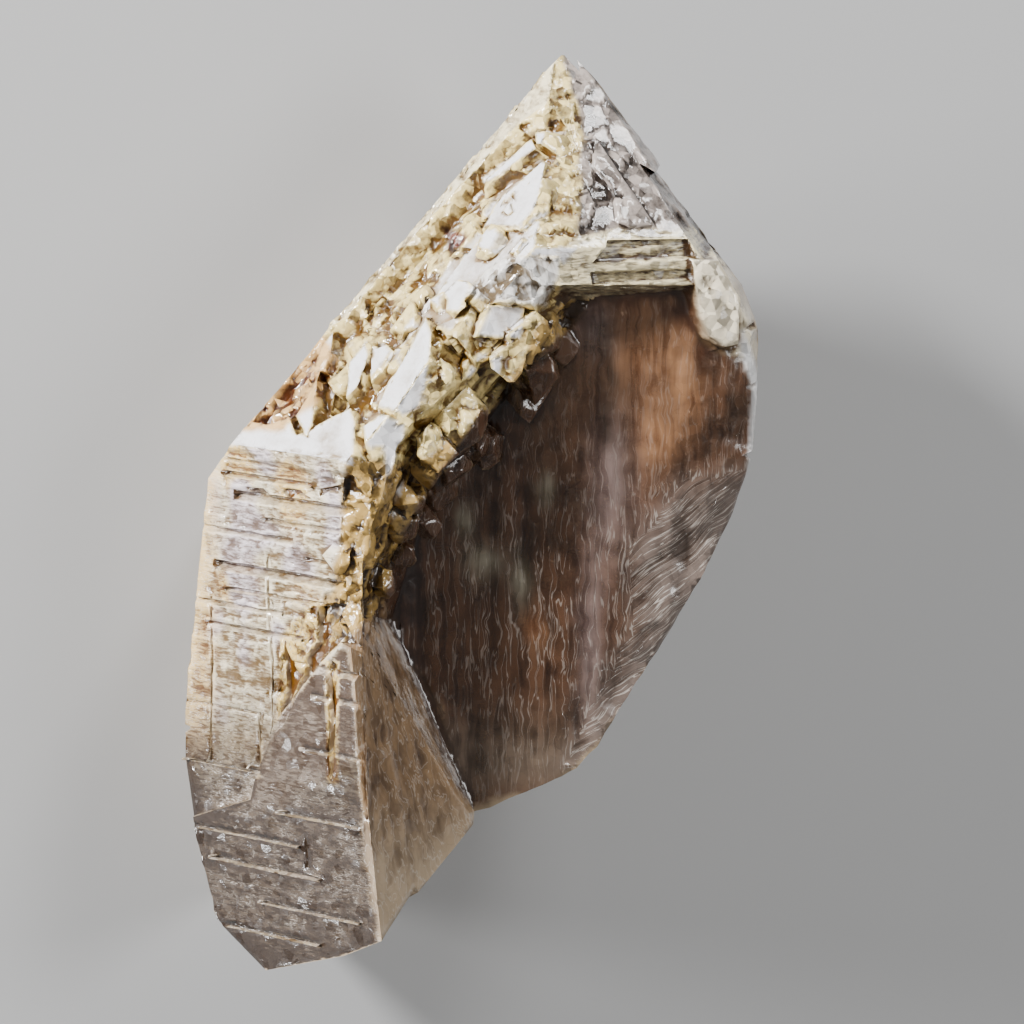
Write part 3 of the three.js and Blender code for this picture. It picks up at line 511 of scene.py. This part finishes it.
def relief(local, normals, weights):
    """How far each vertex moves out along its normal, in mm."""
    across, along, out = local @ RIGHT, local[:, 1], local @ OUT

    # the contact surface's fibres, and the slanting ribs at its right
    by_axis = np.stack([across, along * 0.13 + 0.02 * across, out], axis=1)
    fibres = ridged(by_axis * 1.1 + noise(local * 0.25, 8)[:, None] * 0.6, 3, 4)
    moved = FIBRE_HEIGHT * (fibres - 0.55) * (weights["contact"] * (1 - 0.6 * weights["ribs"]))
    slant = (0.58 * across - 0.81 * along) * 0.75 + 0.9 * noise(local * 0.16, 12)
    sweep = ridged(np.stack([slant, across * 0.1, along * 0.1], axis=1), 3, 14)
    moved += RIB_HEIGHT * weights["ribs"] * (sweep - 0.5)

    # growth steps and lines across the side
    blocks = np.floor(across * 0.14 + 0.8 * noise(local * 0.12, 25))
    line = along / 1.25 + 0.5 * noise(local * 0.3, 21) + 7.7 * blocks
    step = np.floor(line)
    reach = noise(np.stack([step * 7.3, across * 0.22, blocks], axis=1), 22)
    tread = (line - step) * smooth(-0.2, 0.6, reach)
    fine = ridged(np.stack([along * 1.5, across * 0.18, out * 0.18], axis=1), 2, 23)
    striated = TREAD_HEIGHT * (tread - 0.3) + LINE_HEIGHT * (fine - 0.5)
    striated += SIDE_FACETS * facets(local * np.array((0.5, 0.8, 0.5)), 61)
    strength = weights["side"] * (1 - 0.45 * weights["foot"]) * (1 - 0.8 * weights["lower"])
    moved += striated * (strength + 0.6 * weights["band"] + 0.5 * weights["back"])

    # ribs of the tread, and the lobe's fibres
    ribs = ridged(tread_grain(across, along, out), 2, 71)
    moved += RIB_HEIGHT * weights["tread"] * (ribs - 0.5)
    spray = np.stack([fanned_out(across, along), along * 0.1, out * 0.35], axis=1)
    moved += SPRAY_HEIGHT * weights["fan"] * (ridged(spray, 3, 41) - 0.55)

    # chips and facets; the face that it lies on stays flat
    chips = CHIP_HEIGHT * facets(local * CHIPS_PER_MM, 51)
    chips += FINE_CHIP_HEIGHT * facets(local * FINE_CHIPS_PER_MM, 52)
    rough_zones = sum(weights[name] for name in ("wall", "corner", "pit", "rust", "gold"))
    moved += chips * np.clip(rough_zones, 0, 1) * (1 - weights["plate"])
    moved += chips * (0.5 * weights["frosted"] + 0.25 * weights["back"])
    rim = weights["crown"] * (1 - weights["pit"]) * (1 - weights["plate"])
    moved += RIM_FACETS * facets(local * 0.45, 55) * rim
    moved += GLASSY_FACETS * facets(local * 0.3, 59) * (weights["glassy"] + weights["flank"])
    return np.where(local[:, 2] < -PRISM["back"][1] + 0.02, np.minimum(moved, 0), moved)


def linear(tone):
    """A colour given as it looks on a screen, from 0 to 255, as amounts of light."""
    return np.array([c / 255 / 12.92 if c <= 10 else ((c / 255 + 0.055) / 1.055) ** 2.4 for c in tone])


def layered(weights, which):
    """Each vertex's dark or light colour, from the tones of the surfaces it belongs to."""
    tones = np.tile(linear(BARE_TONES[which]), (len(weights["side"]), 1))
    for name, pair in TONES.items():
        share = weights[name][:, None]
        tones = tones * (1 - share) + linear(pair[which]) * share
    return tones


def patterns(weights, raised, depth):
    """How strongly each pattern and finish shows at each vertex."""
    def total(shares):
        return sum(share * weights[name] for name, share in shares.items())

    chipped = CHIPPED_ALL + total(CHIPPED)
    streaked = STREAKED_ALL + total(STREAKED)
    clear = total(CLEAR) * (1 - 0.6 * weights["ribs"]) * (1 - 0.8 * smooth(0.1, 0.4, depth))
    threads = total(THREADS) + SIDE_GLINT_THREADS * weights["side"] * (1 - weights["foot"])
    # raised holds the painted shade of hollows and the painted highlight of crests, with random tone and
    # each surface's offset
    return {"raised": raised + 0.5 - total(DARKER), "chipped": chipped, "streaked": streaked,
            "clear": clear, "threads": threads}


def model_crystal():
    """The CAD solid divided finely, with its relief, and what the quartz material reads off it."""
    piece = copy_of_node(NODE, "smoky_quartz")
    cut_long_edges(piece)
    spots, local, normals = read_mesh(piece)
    weights = zones(local, normals)
    creased = np.abs(((settled(piece, spots, 3) - spots) * normals).sum(axis=1)) / MM
    moved = relief(local, normals, weights) * (1 - CREASE_FADE * smooth(*CREASE, creased))
    spots = spots + normals * (moved * MM)[:, None]
    near, wide = [((settled(piece, spots, rounds) - spots) * normals).sum(axis=1) / MM
                  for rounds in (NEAR_ROUNDS, WIDE_ROUNDS)]
    sunk = np.clip(wide - LIFT_FROM, 0, LIFT_MOST) * weights["side"]
    spots = spots + facing(PRISM["left"][0], 0) * (sunk * MM)[:, None]
    # Painted shade: the skin darkens in hollows and lightens on crests; on the foot and the lower plate
    # the hollows are lighter instead, and a little random tone lies over it all
    depth = NEAR_HOLLOW_SHADE * near + WIDE_HOLLOW_SHADE * wide * (1 - 0.7 * weights["contact"])
    raised = SKIN_LEVEL - depth * (1 - 1.8 * np.maximum(weights["foot"], weights["lower"]))
    raised += 0.1 * rough(local * 0.55, 2, 95) * (1 + weights["contact"] + 1.4 * weights["plate"])
    spots[:, 2] = np.maximum(spots[:, 2], cad_box[0].z)
    piece.data.vertices.foreach_set("co", spots.ravel())
    for name, values in patterns(weights, raised, wide).items():
        attribute = piece.data.attributes.new(name, "FLOAT", "POINT")
        attribute.data.foreach_set("value", np.clip(values, 0, 2))
    for name, colours in (("dark", 0), ("light", 1)):
        attribute = piece.data.attributes.new(name, "FLOAT_VECTOR", "POINT")
        attribute.data.foreach_set("vector", layered(weights, colours).ravel())
    add_streaks(piece, local, weights)
    piece.data.update()
    only(piece)
    bpy.ops.object.shade_smooth_by_angle(angle=SMOOTH_ANGLE)
    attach(piece, "root")
    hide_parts(NODE)
    return piece


# Materials

class Value:
    """A shader socket that can be used in sums."""

    def __init__(self, shader, socket):
        self.shader = shader
        self.socket = socket

    def math(self, operation, other=None):
        inputs = [self] if other is None else [self, other]
        return self.shader.node("ShaderNodeMath", {"operation": operation}, dict(enumerate(inputs)))

    def __add__(self, other):
        return self.math("ADD", other)

    def __sub__(self, other):
        return self.math("SUBTRACT", other)

    def __mul__(self, other):
        return self.math("MULTIPLY", other)

    def __rsub__(self, other):
        return self.shader.node("ShaderNodeMath", {"operation": "SUBTRACT"}, {0: other, 1: self})

    __radd__ = __add__
    __rmul__ = __mul__


class Shader:
    """A material's node tree."""

    def __init__(self, name):
        self.material = bpy.data.materials.new(name)
        self.material.use_nodes = True
        self.tree = self.material.node_tree
        self.tree.nodes.clear()

    def node(self, kind, settings=None, inputs=None, output=0):
        """Adds a node, with its settings and then its inputs, and returns one of its outputs."""
        made = self.tree.nodes.new(kind)
        for key, value in (settings or {}).items():
            setattr(made, key, value)
        for key, value in (inputs or {}).items():
            if isinstance(value, Value):
                self.tree.links.new(value.socket, made.inputs[key])
            else:
                made.inputs[key].default_value = value
        return Value(self, made.outputs[output])

    def attribute(self, name):
        return self.node("ShaderNodeAttribute", {"attribute_name": name}, output="Fac")

    def tint(self, name):
        return self.node("ShaderNodeAttribute", {"attribute_name": name}, output="Color")

    def mix(self, share, first, second):
        """Blends two colours."""
        return self.node("ShaderNodeMix", {"data_type": "RGBA"},
                         {"Factor": share, 6: first, 7: second}, output=2)

    def ramp(self, value, low, high):
        """0 below low and 1 above high, with a smooth rise between."""
        return self.node("ShaderNodeMapRange", {"interpolation_type": "SMOOTHSTEP"},
                         {"Value": value, "From Min": low, "From Max": high})

    def noise(self, vector, scale, detail, rough=0.5):
        return self.node("ShaderNodeTexNoise", {}, {"Vector": vector, "Scale": scale, "Detail": detail,
                                                    "Roughness": rough})

    def threads(self, wave, width):
        """1 where the wave passes through its middle value, and 0 further from it than the width."""
        return 1 - self.ramp((wave - 0.5).math("ABSOLUTE"), width * 0.3, width)

    def vector_math(self, operation, first, second, output="Vector"):
        return self.node("ShaderNodeVectorMath", {"operation": operation}, {0: first, 1: second}, output)

    def facets(self, vector, scale):
        """Small flat facets: a random tone for each, and the height of its tilted plane."""
        tint = self.node("ShaderNodeTexVoronoi", {}, {"Vector": vector, "Scale": scale}, "Color")
        middle = Value(self, tint.socket.node.outputs["Position"])
        away = self.vector_math("SUBTRACT", vector, middle)
        tilt = self.vector_math("SUBTRACT", tint, (0.5, 0.5, 0.5))
        height = self.vector_math("DOT_PRODUCT", away, tilt, "Value")
        tone = self.vector_math("DOT_PRODUCT", tint, (0.4, 0.3, 0.3), "Value")
        return tone, height

    def finish(self, surface, volume=None):
        output = self.tree.nodes.new("ShaderNodeOutputMaterial")
        self.tree.links.new(surface.socket, output.inputs["Surface"])
        if volume:
            self.tree.links.new(volume.socket, output.inputs["Volume"])
        return self.material


def quartz():
    """Clear smoky glass under a glossy skin in the tones of each surface, which covers most of it. The
    skin's tones hold painted shade in hollows and painted highlights on crests, on the plates and along
    the side's steps.
    """
    s = Shader("smoky_quartz")
    spot = s.node("ShaderNodeTexCoord", output="Object")
    in_mm = s.node("ShaderNodeMapping", {}, {"Vector": spot, "Scale": (1 / MM, 1 / MM, 1 / MM)})
    across_streaks = s.node("ShaderNodeAttribute", {"attribute_name": "streaks"}, output="Vector")
    weight = {name: s.attribute(name) for name in ("raised", "chipped", "streaked", "clear", "threads")}
    streaks = s.noise(across_streaks, 1, 2, 0.6)
    chip, chip_tilt = s.facets(in_mm, BUMP_CHIPS_PER_MM)

    # The skin's tone: painted shade and highlight from raised, streaks that on the side are partly
    # painted glints and shadows, and random chip tones
    pattern = (weight["raised"] + (streaks - 0.5) * weight["streaked"]
               + (chip - 0.5) * weight["chipped"] * 1.2 - 0.5)
    tone = s.mix(s.ramp(pattern, 0.12, 0.92), s.tint("dark"), s.tint("light"))
    # Pale threads; those across the side are painted glints along its growth steps
    threads = s.threads(streaks, 0.022) * weight["threads"] * s.ramp(pattern, 0.3, 0.6)
    tone = s.mix(threads, tone, (*linear(THREAD_AND_GLINT_TONE), 1))

    cover = 1 - weight["clear"] * (1.05 - pattern * 0.3)
    height = chip_tilt * (weight["chipped"] + 0.1) + streaks * weight["streaked"] * STREAK_BUMP
    bump = s.node("ShaderNodeBump", {},
                  {"Strength": 1.0, "Distance": BUMP_HEIGHT * MM, "Height": height})
    skin = s.node("ShaderNodeBsdfPrincipled", {}, {
        "Base Color": tone, "Roughness": SKIN_ROUGHNESS, "IOR": QUARTZ_IOR, "Normal": bump,
        "Coat Weight": SKIN_COAT, "Coat Roughness": COAT_ROUGHNESS, "Coat IOR": QUARTZ_IOR})
    glass = s.node("ShaderNodeBsdfPrincipled", {}, {
        "Base Color": s.mix(0.5, (1, 1, 1, 1), s.tint("light")), "Roughness": GLASS_ROUGHNESS,
        "IOR": QUARTZ_IOR, "Transmission Weight": 1.0, "Normal": bump})
    surface = s.node("ShaderNodeMixShader", {}, {0: cover, 1: glass, 2: skin})
    smoke = s.node("ShaderNodeVolumeAbsorption", {}, {"Color": SMOKE_TINT, "Density": SMOKE_DENSITY})
    return s.finish(surface, smoke)


def plain(name, shade, roughness):
    """An even grey with faint flecks."""
    s = Shader(name)
    spot = s.node("ShaderNodeTexCoord", output="Object")
    fleck = s.noise(spot, 60, 2)
    tint = s.mix(fleck, (shade * 0.98,) * 3 + (1,), (shade,) * 3 + (1,))
    return s.finish(s.node("ShaderNodeBsdfPrincipled", {}, {"Base Color": tint, "Roughness": roughness}))


# Studio

def floor():
    bpy.ops.object.select_all(action="DESELECT")
    bpy.ops.mesh.primitive_plane_add(size=3, location=(0, 0, cad_box[0].z))
    plane = bpy.context.active_object
    plane.name = "floor"
    plane.data.materials.append(plain("pale_floor", FLOOR_SHADE, 0.7))


def soft_light(name, right, up, out, size, power):
    """An area light at that place round the crystal's middle, in mm of the elevation, facing it."""
    middle = Vector(place(-8, 45, 0))
    offset = Vector((RIGHT * right + UPRIGHT * up + SIGHT * out) * MM)
    light = bpy.data.lights.new(name, "AREA")
    light.shape = "DISK"
    light.size = size * MM
    light.energy = power
    lamp = bpy.data.objects.new(name, light)
    lamp.location = middle + offset
    lamp.rotation_mode = "QUATERNION"
    lamp.rotation_quaternion = (-offset).to_track_quat("-Z", "Y")
    bpy.context.collection.objects.link(lamp)


def studio():
    floor()
    soft_light("key", -460, 330, 430, 120, 11)
    soft_light("left", -600, 60, 330, 160, 4)
    soft_light("fill", 620, 60, 420, 300, 2)
    soft_light("top", 270, 575, 300, 160, 2.5)
    world = bpy.data.worlds.new("studio")
    world.use_nodes = True
    background = world.node_tree.nodes["Background"]
    background.inputs["Color"].default_value = (1, 1, 1, 1)
    background.inputs["Strength"].default_value = ROOM_LIGHT
    bpy.context.scene.world = world


def camera():
    data = bpy.data.cameras.new("camera")
    data.sensor_width = SENSOR
    data.lens = SENSOR * CAMERA_DISTANCE / FRAME_WIDTH
    data.clip_start = 0.01
    data.clip_end = 10
    shot = bpy.data.objects.new("camera", data)
    right, down = FRAME_CENTRE
    centre = (TIP + RIGHT * right - UPRIGHT * down) * MM
    turn = Matrix((RIGHT, UPRIGHT, SIGHT)).transposed()
    shot.matrix_world = Matrix.Translation(centre + SIGHT * CAMERA_DISTANCE * MM) @ turn.to_4x4()
    bpy.context.collection.objects.link(shot)
    bpy.context.scene.camera = shot


camera()
studio()
crystal = model_crystal()
crystal.data.materials.clear()
crystal.data.materials.append(quartz())
